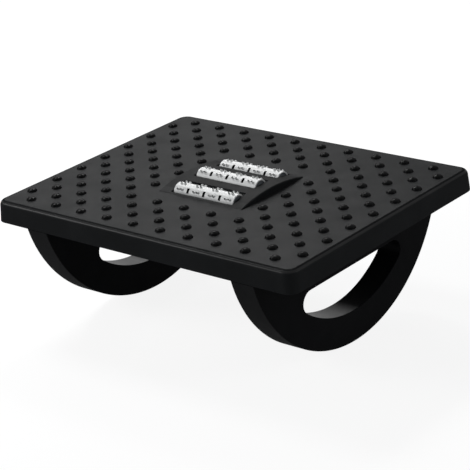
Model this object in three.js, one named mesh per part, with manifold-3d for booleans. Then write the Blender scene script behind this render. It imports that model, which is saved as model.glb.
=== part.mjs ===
// Rocking foot rest for use under a desk.
// A moulded foot plate with massage domes and an arched bump stands on two D-shaped rockers.
// Three pinned massage rollers turn freely in slots of the bump, on axles held by a cradle below.
// Millimetres, +X along the rollers (the rocking axis), +Y away from the user, +Z up.
// The origin is on the floor, under the middle of the plate.

import * as THREE from 'three';
import { mergeVertices } from 'three/addons/utils/BufferGeometryUtils.js';
import Module from 'manifold-3d';

const wasm = await Module();
wasm.setup();

const { degToRad } = THREE.MathUtils;

// Foot plate
const plateWidth = 450;
const plateDepth = 345;
const plateWall = 3;
const skirtHeight = 26;
const skirtDraftDegrees = 4;
const plateCornerRadius = 14;
const plateEdgeRadius = 5.5;

// Massage domes, in two lattices that interlock like the dots of a five on a dice
const domeMarginX = 20;
const domeMarginY = 24.45;
const domeColumns = 11;
const domeRows = 7;
const domeRadius = 5.8;
const domeHeight = 3.4;
const domeSides = 8;

// Arched bump that the rollers sit in
const bumpLandX = 18.6;
const bumpLandY = 19.3;
const bumpRise = 8.2;
const bumpWall = 2;
const bumpSegments = 12;

// Rollers
const rollerPitch = 40.7;
const rollerLength = 89.8;
const rollerRadius = 10.7;
const rollerWall = 1.6;
const middleRollerLift = 2.6;
const outerRollerLift = -1.7;
const slotSideGap = 0.6;
const slotEndGap = 1.6;
const rollerFacets = 16;

// Pins and windows of a roller
const pinRows = 8;
const pinGroups = 4;
const pinEndMargin = 8.75;
const pinSpacing = 5.5;
const pinHeight = 2.2;
const pinBaseRadius = 1.3;
const pinTipRadius = 0.8;
const pinRoot = 0.6;
const pinSides = 4;
const windowWidth = 3.4;
const windowLength = 6.4;
const windowRowStep = 2;
const frontRowTiltDegrees = 54;
const middleRowTiltDegrees = 36.5;
const backRowTiltDegrees = 43;

// Roller ends and axles
const hubFacets = 12;
const hubFit = 0.3;
const hubDepth = 4;
const hubInset = 0.5;
const hubBossRadius = 4.2;
const hubBossReach = 1.2;
const axleRadius = 1.6;
const axleRunningGap = 0.25;
const axleEndGap = 0.3;

// Cradle that holds the axles from below
const cradleFloor = 2.4;
const cradleFloorDrop = 15.6;
const cradleReach = 18;
const cradleWall = 4;
const cradleWallGap = 0.9;
const seatDepth = 2.4;
const seatGap = 0.25;
const hornHalfWidth = 6;
const hornFlare = 6;
const seatSteps = 8;
const rollerWellGap = 6;

// Rockers
const rockerHeight = 135;
const rockerThickness = 31.5;
const rockerInset = 69.3;
const rockerRingDepth = 38;
const rockerBridgeDepth = 42;
const rockerHoleCornerRadius = 14;
const rockerWall = 3;
const treadSegments = 111;
const holeSegments = 24;

// Seat of a rocker in the plate
const seatClearance = 0.3;
const tongueClearance = 0.4;
const seatRibDepth = 10;

// Stiffening ribs below the plate
const ribThickness = 2.2;
const ribDepth = 12;
const ribPitchX = 44;
const ribPitchY = 56;

// Screws and their bosses
const screwShankRadius = 2;
const screwHeadRadius = 4;
const screwHeadHeight = 2.6;
const screwCrownRadius = 2.9;
const screwTip = 2;
const screwGap = 0.25;
const screwSides = 8;
const boreSides = 8;
const bossWall = 2.4;
const rockerBossLength = 8;
const rockerScrewMargin = 5.85;
const rockerScrewsPerSide = 4;
const rockerScrewWeb = 4;
const cradleScrewInsetX = 11.2;
const cradleScrewInsetY = 7;

// Shared construction values
const cutOverrun = 2;
const joinOverlap = 1;
const mergeTolerance = 1e-4;
const cornerSteps = 4;
const filletSteps = 3;

// Heights and places that follow from the sizes above
const surfaceHeight = rockerHeight + skirtHeight;
const undersideHeight = surfaceHeight - plateWall;
const skirtBottom = rockerHeight;
const draftSlope = Math.tan(degToRad(skirtDraftDegrees));
const skirtInset = (height) => (height - skirtBottom) * draftSlope;
const cavityHalfWidth = plateWidth / 2 - plateWall;
const cavityHalfDepth = plateDepth / 2 - plateWall;
const bumpWidth = rollerLength + 2 * bumpLandX;
const bumpDepth = 2 * (rollerPitch + bumpLandY);
const bumpRadius = ((bumpDepth / 2) ** 2 + bumpRise ** 2) / (2 * bumpRise);
const bumpCentreHeight = surfaceHeight + bumpRise - bumpRadius;
const pinReach = rollerRadius + pinHeight;
const slotHalfDepth = pinReach + slotSideGap;
const slotHalfWidth = rollerLength / 2 + slotEndGap;
const cradleTop = surfaceHeight - cradleFloorDrop;
const cradleBottom = cradleTop - cradleFloor;
const cradleWallInner = slotHalfWidth + cradleWallGap;
const cradleWallOuter = cradleWallInner + cradleWall;
const axleHalfLength = cradleWallInner + seatDepth - axleEndGap;
const cradleWellHalfDepth = rollerPitch + pinReach + rollerWellGap;
const cradleHalfDepth = cradleWellHalfDepth + cradleReach;
const cradleScrewX = cradleWallOuter - cradleScrewInsetX;
const cradleScrewY = cradleHalfDepth - cradleScrewInsetY;
const bossRadius = screwShankRadius + bossWall;
const rockerTop = undersideHeight - seatClearance;
const rockerShoulder = skirtBottom - seatClearance;
const rockerWebTop = undersideHeight - rockerBossLength - seatClearance;
const rockerWebBottom = rockerWebTop - rockerScrewWeb;
const rockerX = plateWidth / 2 - rockerInset;
const rockerRadius = ((plateDepth / 2) ** 2 + rockerHeight ** 2) / (2 * rockerHeight);

const rollers = [
  { name: 'front', y: -rollerPitch, lift: outerRollerLift, tiltDegrees: frontRowTiltDegrees },
  { name: 'middle', y: 0, lift: middleRollerLift, tiltDegrees: middleRowTiltDegrees },
  { name: 'back', y: rollerPitch, lift: outerRollerLift, tiltDegrees: backRowTiltDegrees },
];
const sides = [
  { name: 'left', sign: -1 },
  { name: 'right', sign: 1 },
];

// Turns a closed geometry into a solid that can be joined and cut
function solid(geometry) {
  const bare = geometry.index ? geometry.toNonIndexed() : geometry.clone();
  for (const name of Object.keys(bare.attributes)) {
    if (name !== 'position') bare.deleteAttribute(name);
  }
  const merged = mergeVertices(bare, mergeTolerance);
  return new wasm.Manifold(new wasm.Mesh({
    numProp: 3,
    vertProperties: new Float32Array(merged.attributes.position.array),
    triVerts: new Uint32Array(merged.index.array),
  }));
}

// Turns a solid back into a geometry
function geometryOf(body) {
  const mesh = body.getMesh();
  const geometry = new THREE.BufferGeometry();
  geometry.setAttribute('position', new THREE.BufferAttribute(mesh.vertProperties, 3));
  geometry.setIndex(new THREE.BufferAttribute(mesh.triVerts, 1));
  return geometry;
}

const joinAll = (bodies) => bodies.reduce((whole, body) => whole.add(body));
const cutAll = (whole, tools) => tools.reduce((rest, tool) => rest.subtract(tool), whole);

// A block between two corners
function block(x0, x1, y0, y1, z0, z1) {
  const geometry = new THREE.BoxGeometry(x1 - x0, y1 - y0, z1 - z0);
  geometry.translate((x0 + x1) / 2, (y0 + y1) / 2, (z0 + z1) / 2);
  return solid(geometry);
}

// An upright cylinder between two heights
function post(x, y, z0, z1, radius) {
  const geometry = new THREE.CylinderGeometry(radius, radius, z1 - z0, boreSides);
  geometry.rotateX(Math.PI / 2);
  geometry.translate(x, y, (z0 + z1) / 2);
  return solid(geometry);
}

// A shape drawn in the YZ plane, extruded along X
function extrudeAlongX(shape, x0, x1) {
  const options = { depth: x1 - x0, bevelEnabled: false, curveSegments: 1 };
  const geometry = new THREE.ExtrudeGeometry(shape, options);
  const turn = new THREE.Matrix4().makeBasis(
    new THREE.Vector3(0, 1, 0),
    new THREE.Vector3(0, 0, 1),
    new THREE.Vector3(1, 0, 0),
  );
  geometry.applyMatrix4(turn);
  geometry.translate(x0, 0, 0);
  return geometry;
}

// A profile of [radius, place along X] points, revolved about the X axis
function revolveAboutX(profile, count) {
  const points = profile.map(([radius, x]) => new THREE.Vector2(radius, x));
  const geometry = new THREE.LatheGeometry(points, count, Math.PI / count);
  geometry.rotateZ(-Math.PI / 2);
  return geometry;
}

// Points of an arc in the YZ plane, angles in radians from +Y towards +Z
function arcPoints(centreY, centreZ, radius, from, to, steps) {
  const points = [];
  for (let step = 0; step <= steps; step += 1) {
    const angle = from + ((to - from) * step) / steps;
    points.push(new THREE.Vector2(centreY + radius * Math.cos(angle), centreZ + radius * Math.sin(angle)));
  }
  return points;
}

// One closed loop of a rectangle with round corners, at a given height
function roundedLoop(halfX, halfY, radius, height) {
  const corners = [[1, 1, 0], [-1, 1, 1], [-1, -1, 2], [1, -1, 3]];
  const loop = [];
  for (const [signX, signY, quarter] of corners) {
    for (let step = 0; step <= cornerSteps; step += 1) {
      const angle = ((quarter + step / cornerSteps) * Math.PI) / 2;
      loop.push(new THREE.Vector3(
        signX * (halfX - radius) + radius * Math.cos(angle),
        signY * (halfY - radius) + radius * Math.sin(angle),
        height,
      ));
    }
  }
  return loop;
}

// A closed body through loops of equal point counts, from the lowest to the highest
function loft(loops) {
  const count = loops[0].length;
  const positions = [];
  const put = (...corners) => corners.forEach((corner) => positions.push(corner.x, corner.y, corner.z));
  for (let level = 0; level + 1 < loops.length; level += 1) {
    const [low, high] = [loops[level], loops[level + 1]];
    for (let side = 0; side < count; side += 1) {
      const next = (side + 1) % count;
      put(low[side], low[next], high[next]);
      put(low[side], high[next], high[side]);
    }
  }
  const [first, last] = [loops[0], loops[loops.length - 1]];
  for (let side = 1; side + 1 < count; side += 1) {
    put(first[0], first[side + 1], first[side]);
    put(last[0], last[side], last[side + 1]);
  }
  const geometry = new THREE.BufferGeometry();
  geometry.setAttribute('position', new THREE.Float32BufferAttribute(positions, 3));
  return geometry;
}

// Outside of the plate: drafted skirt, then a rounded edge up to the foot surface
function plateOutside() {
  const level = (inset, height) => roundedLoop(
    plateWidth / 2 - inset,
    plateDepth / 2 - inset,
    plateCornerRadius - inset,
    height,
  );
  const edgeBottom = surfaceHeight - plateEdgeRadius;
  const edgeInset = skirtInset(edgeBottom);
  const loops = [level(0, skirtBottom)];
  for (let step = 0; step <= filletSteps; step += 1) {
    const angle = ((step / filletSteps) * Math.PI) / 2;
    const inset = edgeInset + plateEdgeRadius * (1 - Math.cos(angle));
    loops.push(level(inset, edgeBottom + plateEdgeRadius * Math.sin(angle)));
  }
  return solid(loft(loops));
}

// Hollow below the plate, open at the skirt's foot
function plateHollow() {
  const level = (height) => roundedLoop(
    cavityHalfWidth - skirtInset(height),
    cavityHalfDepth - skirtInset(height),
    plateCornerRadius - plateWall,
    height,
  );
  return solid(loft([level(skirtBottom - cutOverrun), level(undersideHeight)]));
}

// Outline of the bump across X, offset inwards by a wall and closed below by a flat floor
function bumpShape(wall, floorHeight) {
  const radius = bumpRadius - wall;
  const reach = Math.asin(bumpDepth / 2 / bumpRadius);
  const arch = arcPoints(0, bumpCentreHeight, radius, Math.PI / 2 - reach, Math.PI / 2 + reach, bumpSegments);
  const [start, end] = [arch[0], arch[arch.length - 1]];
  return new THREE.Shape([
    ...arch,
    new THREE.Vector2(end.x, floorHeight),
    new THREE.Vector2(start.x, floorHeight),
  ]);
}

// One massage dome: a shallow cap with its root in the plate
function dome(x, y) {
  const profileShares = [[1, 0], [0.72, 0.76], [0, 1]];
  const profile = profileShares.map(([across, up]) => (
    new THREE.Vector2(domeRadius * across, domeHeight * up)
  ));
  profile.unshift(new THREE.Vector2(domeRadius, -joinOverlap));
  profile.unshift(new THREE.Vector2(0, -joinOverlap));
  const geometry = new THREE.LatheGeometry(profile, domeSides);
  geometry.rotateX(Math.PI / 2);
  geometry.translate(x, y, surfaceHeight);
  return solid(geometry);
}

// Places of all domes: both lattices, without those that the bump would swallow
function domePlaces() {
  const places = [];
  const pitchX = (plateWidth - 2 * domeMarginX) / (domeColumns - 1);
  const pitchY = (plateDepth - 2 * domeMarginY) / domeRows;
  const keepOutX = bumpWidth / 2;
  const keepOutY = bumpDepth / 2 + domeRadius;
  const addLattice = (columns, rows) => {
    for (let column = 0; column < columns; column += 1) {
      for (let row = 0; row < rows; row += 1) {
        const x = (column - (columns - 1) / 2) * pitchX;
        const y = (row - (rows - 1) / 2) * pitchY;
        if (Math.abs(x) < keepOutX && Math.abs(y) < keepOutY) continue;
        places.push([x, y]);
      }
    }
  };
  addLattice(domeColumns, domeRows);
  addLattice(domeColumns - 1, domeRows + 1);
  return places;
}

// Straight ribs on the underside, kept clear of the rockers and of the cradle
function plateRibs() {
  const ribs = [];
  const top = undersideHeight + joinOverlap;
  const bottom = undersideHeight - ribDepth;
  const half = ribThickness / 2;
  const endY = cavityHalfDepth;
  const seatInner = rockerX - rockerThickness / 2 - tongueClearance;
  const seatOuter = rockerX + rockerThickness / 2 + tongueClearance;
  for (const { sign } of sides) {
    const across = (a, b) => [Math.min(sign * a, sign * b), Math.max(sign * a, sign * b)];
    const seatBottom = undersideHeight - seatRibDepth;
    ribs.push(block(...across(seatInner - ribThickness, seatInner), -endY, endY, seatBottom, top));
    ribs.push(block(...across(seatOuter, seatOuter + ribThickness), -endY, endY, seatBottom, top));
    for (let x = bumpWidth / 2 + ribPitchX / 2; x < seatInner - ribPitchX / 2; x += ribPitchX) {
      ribs.push(block(...across(x - half, x + half), -endY, endY, bottom, top));
    }
    for (let y = 0; y < endY - ribPitchY / 2; y += ribPitchY) {
      for (const centre of y === 0 ? [0] : [-y, y]) {
        ribs.push(block(...across(seatOuter, cavityHalfWidth), centre - half, centre + half, bottom, top));
        ribs.push(block(
          ...across(bumpWidth / 2 + ribPitchX / 2, seatInner),
          centre - half,
          centre + half,
          bottom,
          top,
        ));
      }
    }
  }
  for (const sign of [-1, 1]) {
    for (let y = cradleHalfDepth + ribPitchY / 2; y < endY - ribPitchY / 2; y += ribPitchY) {
      const reach = bumpWidth / 2 + ribPitchX / 2;
      ribs.push(block(-reach, reach, sign * y - half, sign * y + half, bottom, top));
    }
  }
  return ribs;
}

// Places of the screws along a rocker and under the cradle
const rockerScrewYs = Array.from({ length: rockerScrewsPerSide }, (_, index) => (
  (rockerHole().flatHalf - rockerScrewMargin) * ((2 * index) / (rockerScrewsPerSide - 1) - 1)
));

const cradleScrewPlaces = [-1, 1].flatMap((signY) => (
  [-1, 1].map((signX) => [signX * cradleScrewX, signY * cradleScrewY])
));

function buildPlate() {
  let plate = plateOutside().subtract(plateHollow());
  plate = plate.add(joinAll(plateRibs()).intersect(plateOutside()));
  const bosses = [];
  const pilots = [];
  const addBoss = (x, y, bottom) => {
    bosses.push(post(x, y, bottom, undersideHeight + joinOverlap, bossRadius));
    pilots.push(post(x, y, bottom - cutOverrun, undersideHeight, screwShankRadius + screwGap));
  };
  for (const { sign } of sides) {
    for (const y of rockerScrewYs) addBoss(sign * rockerX, y, undersideHeight - rockerBossLength);
  }
  for (const [x, y] of cradleScrewPlaces) addBoss(x, y, cradleTop + seatClearance);
  plate = cutAll(plate.add(joinAll(bosses)), pilots);
  const bump = extrudeAlongX(bumpShape(0, surfaceHeight - joinOverlap), -bumpWidth / 2, bumpWidth / 2);
  const hollowHalf = bumpWidth / 2 - bumpWall;
  const hollow = extrudeAlongX(bumpShape(bumpWall, undersideHeight - cutOverrun), -hollowHalf, hollowHalf);
  plate = plate.add(solid(bump)).subtract(solid(hollow));
  const slots = rollers.map(({ y }) => block(
    -slotHalfWidth,
    slotHalfWidth,
    y - slotHalfDepth,
    y + slotHalfDepth,
    undersideHeight - cutOverrun,
    surfaceHeight + bumpRise + cutOverrun,
  ));
  plate = cutAll(plate, slots);
  return plate.add(joinAll(domePlaces().map(([x, y]) => dome(x, y))));
}

// Outline of a rocker: round tread below, shoulders under the skirt, tongue up into the plate
function rockerOutline() {
  const tongueHalfDepth = cavityHalfDepth - skirtInset(undersideHeight) - tongueClearance;
  const centre = rockerRadius;
  const sweep = Math.acos((centre - rockerShoulder) / rockerRadius);
  const tangentRadius = rockerRadius / Math.cos(sweep / treadSegments);
  const down = -Math.PI / 2;
  const tread = arcPoints(0, centre, tangentRadius, down - sweep, down + sweep, treadSegments);
  return new THREE.Shape([
    ...tread,
    new THREE.Vector2(tongueHalfDepth, tread[tread.length - 1].y),
    new THREE.Vector2(tongueHalfDepth, rockerTop),
    new THREE.Vector2(-tongueHalfDepth, rockerTop),
    new THREE.Vector2(-tongueHalfDepth, tread[0].y),
  ]);
}

// D-shaped hand hole: flat top, arc that follows the tread, round corners between them
function rockerHole() {
  const centre = rockerRadius;
  const radius = rockerRadius - rockerRingDepth;
  const corner = rockerHoleCornerRadius;
  const top = rockerHeight - rockerBridgeDepth;
  const cornerZ = top - corner;
  const cornerY = Math.sqrt((radius - corner) ** 2 - (centre - cornerZ) ** 2);
  const meet = Math.atan2(cornerZ - centre, cornerY);
  const points = [
    ...arcPoints(0, centre, radius, -Math.PI - meet, meet, holeSegments),
    ...arcPoints(cornerY, cornerZ, corner, meet, Math.PI / 2, cornerSteps + 1).slice(1),
    ...arcPoints(-cornerY, cornerZ, corner, Math.PI / 2, Math.PI - meet, cornerSteps + 1).slice(0, -1),
  ];
  return { points, top, flatHalf: cornerY, endY: cornerY + corner };
}

// Pockets that open towards the plate: three between the screw towers and one in each end
function rockerPockets(x0, x1) {
  const { top: holeTop, endY } = rockerHole();
  const towerHalf = bossRadius + rockerWall + tongueClearance;
  const topCut = rockerTop + cutOverrun;
  const pockets = [];
  for (let index = 0; index + 1 < rockerScrewYs.length; index += 1) {
    const [y0, y1] = [rockerScrewYs[index] + towerHalf, rockerScrewYs[index + 1] - towerHalf];
    pockets.push(block(x0, x1, y0, y1, holeTop + rockerWall, topCut));
  }
  const inner = endY + rockerWall;
  const radius = rockerRadius - rockerWall;
  const wallY = cavityHalfDepth - skirtInset(undersideHeight) - tongueClearance - rockerWall;
  const from = -Math.acos(inner / radius);
  const to = -Math.acos(wallY / radius);
  const arc = arcPoints(0, rockerRadius, radius, from, to, cornerSteps);
  for (const sign of [-1, 1]) {
    const outline = [
      ...arc.map((point) => new THREE.Vector2(sign * point.x, point.y)),
      new THREE.Vector2(sign * wallY, topCut),
      new THREE.Vector2(sign * inner, topCut),
    ];
    pockets.push(solid(extrudeAlongX(new THREE.Shape(outline), x0, x1)));
  }
  return pockets;
}

function buildRocker() {
  const half = rockerThickness / 2;
  const outline = rockerOutline();
  const hole = rockerHole();
  outline.holes.push(new THREE.Path(hole.points));
  const cuts = rockerPockets(rockerWall - half, half - rockerWall);
  for (const y of rockerScrewYs) {
    cuts.push(post(0, y, rockerWebTop, rockerTop + cutOverrun, bossRadius + seatClearance));
    cuts.push(post(0, y, rockerWebBottom - cutOverrun, rockerTop, screwShankRadius + screwGap));
    cuts.push(post(0, y, hole.top - cutOverrun, rockerWebBottom, screwHeadRadius + screwGap));
  }
  return cutAll(solid(extrudeAlongX(outline, -half, half)), cuts);
}

// Outline of a cradle wall: a horn at each axle, with or without its open seat
function cradleWallOutline(withSeats) {
  const saddle = surfaceHeight - rollerRadius;
  const outline = [
    new THREE.Vector2(-cradleWellHalfDepth, cradleBottom),
    new THREE.Vector2(-cradleWellHalfDepth, saddle),
  ];
  for (const { y, lift } of rollers) {
    const axisHeight = surfaceHeight + lift;
    outline.push(new THREE.Vector2(y - hornHalfWidth - hornFlare, saddle));
    outline.push(new THREE.Vector2(y - hornHalfWidth, axisHeight));
    if (withSeats) outline.push(...arcPoints(y, axisHeight, axleRadius + seatGap, -Math.PI, 0, seatSteps));
    outline.push(new THREE.Vector2(y + hornHalfWidth, axisHeight));
    outline.push(new THREE.Vector2(y + hornHalfWidth + hornFlare, saddle));
  }
  outline.push(new THREE.Vector2(cradleWellHalfDepth, saddle));
  outline.push(new THREE.Vector2(cradleWellHalfDepth, cradleBottom));
  return new THREE.Shape(outline);
}

// Cradle below the rollers: floor, cross walls, and side walls whose blind seats hold the axle ends
function buildCradle() {
  const parts = [
    block(-cradleWallOuter, cradleWallOuter, -cradleHalfDepth, cradleHalfDepth, cradleBottom, cradleTop),
  ];
  const seatEnd = cradleWallInner + seatDepth;
  for (const { sign } of sides) {
    const [seated, backing] = [[cradleWallInner, seatEnd], [seatEnd, cradleWallOuter]]
      .map((span) => span.map((x) => sign * x).sort((a, b) => a - b));
    parts.push(solid(extrudeAlongX(cradleWallOutline(true), ...seated)));
    parts.push(solid(extrudeAlongX(cradleWallOutline(false), ...backing)));
    const [y0, y1] = [cradleWellHalfDepth - cradleFloor, cradleWellHalfDepth]
      .map((y) => sign * y).sort((a, b) => a - b);
    const wallTop = undersideHeight - seatClearance;
    parts.push(block(-cradleWallOuter, cradleWallOuter, y0, y1, cradleBottom, wallTop));
  }
  const holes = cradleScrewPlaces.map(([x, y]) => (
    post(x, y, cradleBottom - cutOverrun, cradleTop + cutOverrun, screwShankRadius + screwGap)
  ));
  return cutAll(joinAll(parts), holes);
}

// Roller sleeve about the X axis: tube, rows of pins in pairs, windows in every second row
function buildSleeve() {
  const half = rollerLength / 2;
  const bore = rollerRadius - rollerWall;
  const tube = revolveAboutX(
    [[bore, -half], [rollerRadius, -half], [rollerRadius, half], [bore, half], [bore, -half]],
    rollerFacets,
  );
  const groupPitch = (rollerLength - 2 * pinEndMargin) / (pinGroups - 1);
  const pins = [];
  const windows = [];
  for (let row = 0; row < pinRows; row += 1) {
    const angle = (2 * Math.PI * row) / pinRows;
    for (let group = 0; group < pinGroups; group += 1) {
      const groupX = (group - (pinGroups - 1) / 2) * groupPitch;
      for (const sign of [-1, 1]) {
        const pin = new THREE.CylinderGeometry(pinTipRadius, pinBaseRadius, pinHeight + pinRoot, pinSides);
        pin.rotateX(Math.PI / 2);
        pin.translate(groupX + (sign * pinSpacing) / 2, 0, pinReach - (pinHeight + pinRoot) / 2);
        pins.push(solid(pin.rotateX(angle)));
      }
      if (row % windowRowStep !== 0 || group + 1 === pinGroups) continue;
      const cut = new THREE.BoxGeometry(windowWidth, windowLength, 2 * (rollerWall + pinHeight));
      cut.translate(groupX + groupPitch / 2, 0, rollerRadius);
      windows.push(solid(cut.rotateX(angle)));
    }
  }
  return cutAll(joinAll([solid(tube), ...pins]), windows);
}

// Roller end for the side that faces +X: a plug inside the sleeve and a boss that reaches past it
function buildHub() {
  const outside = rollerLength / 2 - hubInset;
  const bossEnd = rollerLength / 2 + hubBossReach;
  const bore = axleRadius + axleRunningGap;
  const plugRadius = rollerRadius - rollerWall - hubFit;
  return revolveAboutX([
    [bore, outside - hubDepth],
    [plugRadius, outside - hubDepth],
    [plugRadius, outside],
    [hubBossRadius, outside],
    [hubBossRadius, bossEnd],
    [bore, bossEnd],
    [bore, outside - hubDepth],
  ], hubFacets);
}

function buildAxle() {
  return revolveAboutX([
    [0, -axleHalfLength],
    [axleRadius, -axleHalfLength],
    [axleRadius, axleHalfLength],
    [0, axleHalfLength],
  ], screwSides);
}

// Pan-head screw, head down, with the underside of its head at its own origin
function buildScrew(length) {
  const profile = [
    [0, -screwHeadHeight],
    [screwCrownRadius, -screwHeadHeight],
    [screwHeadRadius, 0],
    [screwShankRadius, 0],
    [screwShankRadius, length - screwTip],
    [0, length],
  ];
  const points = profile.map(([radius, z]) => new THREE.Vector2(radius, z));
  const geometry = new THREE.LatheGeometry(points, screwSides);
  return geometry.rotateX(Math.PI / 2);
}

const look = (color, roughness, metalness = 0) => ({ color, roughness, metalness });
const looks = {
  plate: look(0x292b2d, 0.62),
  rocker: look(0x1b1c1f, 0.5),
  sleeve: look(0xf1f2f0, 0.45),
  hub: look(0x454b52, 0.55),
  cradle: look(0x222326, 0.6),
  axle: look(0xb9bcc0, 0.3, 1),
  screw: look(0x8d9094, 0.4, 1),
};

// Adds one named piece with its own material to a group
function addPiece(parent, name, geometry, surface, place = [0, 0, 0]) {
  const mesh = new THREE.Mesh(geometry, new THREE.MeshStandardMaterial(surface));
  mesh.name = name;
  mesh.position.set(...place);
  parent.add(mesh);
  return mesh;
}

const footrest = new THREE.Group();
addPiece(footrest, 'top_plate', geometryOf(buildPlate()), looks.plate);

const rockerGeometry = geometryOf(buildRocker());
const screwSeat = rockerWebBottom - screwGap;
const rockerScrew = buildScrew(undersideHeight - screwGap - screwSeat);
for (const { name, sign } of sides) {
  addPiece(footrest, `rocker_${name}`, rockerGeometry.clone(), looks.rocker, [sign * rockerX, 0, 0]);
  rockerScrewYs.forEach((y, index) => {
    const place = [sign * rockerX, y, screwSeat];
    addPiece(footrest, `rocker_screw_${name}_${index + 1}`, rockerScrew.clone(), looks.screw, place);
  });
}

addPiece(footrest, 'roller_cradle', geometryOf(buildCradle()), looks.cradle);
const cradleSeat = cradleBottom - screwGap;
const cradleScrew = buildScrew(undersideHeight - screwGap - cradleSeat);
cradleScrewPlaces.forEach(([x, y], index) => {
  addPiece(footrest, `cradle_screw_${index + 1}`, cradleScrew.clone(), looks.screw, [x, y, cradleSeat]);
});

const sleeveGeometry = geometryOf(buildSleeve());
for (const { name, y, lift, tiltDegrees } of rollers) {
  const axis = [0, y, surfaceHeight + lift];
  addPiece(footrest, `roller_axle_${name}`, buildAxle(), looks.axle, axis);
  const roller = new THREE.Group();
  roller.position.set(...axis);
  roller.rotation.x = degToRad(tiltDegrees);
  addPiece(roller, `roller_sleeve_${name}`, sleeveGeometry.clone(), looks.sleeve);
  for (const side of sides) {
    const hub = addPiece(roller, `roller_hub_${name}_${side.name}`, buildHub(), looks.hub);
    if (side.sign < 0) hub.rotation.z = Math.PI;
  }
  footrest.add(roller);
}

export default footrest;
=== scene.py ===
"""Rocking foot rest: the finished pieces, their materials, the studio and the camera."""

import math

import bmesh
import bpy
from mathutils import Matrix, Vector


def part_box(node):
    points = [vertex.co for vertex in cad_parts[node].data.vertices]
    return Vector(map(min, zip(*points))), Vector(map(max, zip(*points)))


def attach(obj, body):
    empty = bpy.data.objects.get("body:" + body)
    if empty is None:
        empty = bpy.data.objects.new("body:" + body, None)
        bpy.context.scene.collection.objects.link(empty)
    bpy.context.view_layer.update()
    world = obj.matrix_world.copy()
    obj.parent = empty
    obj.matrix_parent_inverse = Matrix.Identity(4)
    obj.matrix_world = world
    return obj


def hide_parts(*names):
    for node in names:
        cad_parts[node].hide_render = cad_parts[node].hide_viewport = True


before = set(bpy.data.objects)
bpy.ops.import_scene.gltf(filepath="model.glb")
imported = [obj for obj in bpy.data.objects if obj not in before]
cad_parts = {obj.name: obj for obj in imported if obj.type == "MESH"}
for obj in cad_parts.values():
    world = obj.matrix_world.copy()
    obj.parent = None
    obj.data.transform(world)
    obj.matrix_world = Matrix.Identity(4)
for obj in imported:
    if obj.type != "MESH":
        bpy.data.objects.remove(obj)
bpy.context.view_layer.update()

MM = 0.001

# How close two places are to count as one, and what is small enough to be cleaned away
SAME_PLACE = 0.05 * MM
DOUBLE_GAP = 0.03 * MM
CRUMB = 0.003 * MM
FLAT_TURN = math.radians(0.05)

# How far a joined piece runs into its neighbour
BITE = 1 * MM

# Foot plate
PLATE_WIDTH = 450 * MM
PLATE_DEPTH = 345 * MM
PLATE_WALL = 3 * MM
SKIRT_HEIGHT = 26 * MM
SKIRT_DRAFT = math.tan(math.radians(4))
PLATE_CORNER = 14 * MM
PLATE_EDGE = 5.5 * MM
PLATE_BORDER = 1.2 * MM
SKIRT_FOOT_EDGE = 0.7 * MM
ROCKER_HEIGHT = 135 * MM
SURFACE = ROCKER_HEIGHT + SKIRT_HEIGHT
UNDERSIDE = SURFACE - PLATE_WALL

# Where the plate's painted light and shade change: the reach of its rolled edge, and the upward
# parts of a face's direction at which the roll's painted shade, its painted highlight line and
# the skirt's painted shade begin
ROLL_REACH = 15 * MM
ROLL_BEGINS = 0.999
BRIGHT_LINE_BEGINS = 0.87
SKIRT_BEGINS = 0.5

# Ribs below the plate
RIB_WIDTH = 2.2 * MM
RIB_MARGIN = 3.7 * MM
RIB_DEPTH = 12 * MM
SEAT_RIB_DEPTH = 10 * MM
SEAT_PLAY = 0.4 * MM
INNER_RIB_X = 85.5 * MM
MIDDLE_RIB_Y = 105.6 * MM
CROSS_RIB_YS = (-112 * MM, -56 * MM, 0, 56 * MM, 112 * MM)

# Domes
DOME_COLUMNS = 11
DOME_ROWS = 7
DOME_MARGIN_X = 20 * MM
DOME_MARGIN_Y = 24.45 * MM
DOME_RADIUS = 5.8 * MM
DOME_HEIGHT = 3.4 * MM
DOME_FOOT = 6.6 * MM
DOME_SINK = 0.2 * MM
DOME_SHOULDER = DOME_HEIGHT * 0.8
# The share of the shoulder that is rounded, and each step of the crown with its share of the rise
DOME_ROUND = 0.92
DOME_CROWN = ((0.9 * MM, 1.2), (1.1 * MM, 0.8))
# The painted shade of a dome's flank and foot begins where a face is steeper than this, or lower
DOME_FLANK_BEGINS = 0.5
DOME_FLANK_FOOT = 0.2 * MM

# Bump over the rollers
BUMP_WIDTH = 127 * MM
BUMP_DEPTH = 120 * MM
BUMP_RISE = 8.2 * MM
BUMP_WALL = 2 * MM
BUMP_END_WALL = 0.6 * MM
BUMP_EDGE = 1.4 * MM
BUMP_EDGE_BEGINS = 0.02 * MM
# Where the painted shade on the bump's top reaches: its half depth, and its least height over the
# plate
BUMP_DARK_HALF = 46 * MM
BUMP_DARK_RISE = 1.5 * MM

# Rollers
ROLLER_PITCH = 40.7 * MM
ROLLER_LENGTH = 89.8 * MM
ROLLER_RADIUS = 10.7 * MM
ROLLER_WALL = 1.6 * MM
ROLLER_EDGE = 0.35 * MM
# Each roller's place along Y, the height of its axis over the plate, and its turn in degrees
ROLLERS = {
    "front": (-ROLLER_PITCH, -1.7 * MM, 54),
    "middle": (0, 2.6 * MM, 36.5),
    "back": (ROLLER_PITCH, -1.7 * MM, 43),
}
PIN_ROWS = 8
PIN_GROUPS = 4
PIN_END_MARGIN = 8.75 * MM
PIN_SPACING = 5.5 * MM
PIN_REACH = 12.85 * MM
PIN_BASE = 1.5 * MM
PIN_TIP = 1.35 * MM
PIN_BORE = 1 * MM
PIN_BORE_DEPTH = 1.8 * MM
PIN_EDGE = 0.2 * MM
PIN_ROOT = 0.8 * MM
WINDOW = (3.4 * MM, 6.4 * MM)
WINDOW_CORNER = 0.5 * MM
WINDOW_DEPTH = 3 * MM
SLOT_HALF_WIDTH = 46.5 * MM
SLOT_HALF_DEPTH = 13.5 * MM
SLOT_CORNER = 1.5 * MM
SLOT_DEPTH = 4 * MM
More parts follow.
